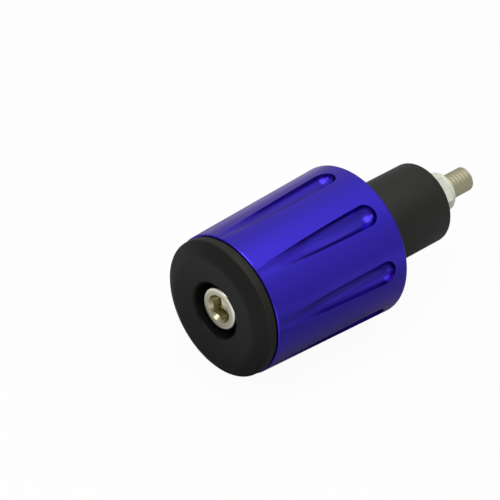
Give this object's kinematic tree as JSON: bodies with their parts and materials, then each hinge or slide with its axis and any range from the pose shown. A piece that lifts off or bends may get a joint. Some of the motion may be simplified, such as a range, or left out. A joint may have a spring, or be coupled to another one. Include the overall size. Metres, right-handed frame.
{
  "type": "bar end weight",
  "caption": "Handlebar end weight: a tapered fluted metal sleeve with a black cap, a long socket head screw, a rubber expansion bush and a lock nut.",
  "frame": {"origin": "centre of the flat ring on the cap's face, on which the part stands", "axes": "+Z along the screw, from the cap towards the handlebar; +X through the middle of one flute"},
  "size_m": [0.035, 0.035, 0.0778],
  "materials": {
    "violet_anodised": "satin anodised",
    "black_anodised": "matte anodised",
    "stainless": "as rolled",
    "black_rubber": "matte moulded",
    "zinc_plate": "bright plated",
    "nylon": "plain"
  },
  "bodies": {
    "root": {"end_cap": "black_anodised", "sleeve": "violet_anodised", "cap_screw": "stainless", "rubber_bush": "black_rubber", "washer": "zinc_plate", "lock_nut": "zinc_plate", "nut_ring": "nylon"}
  },
  "joints": []
}
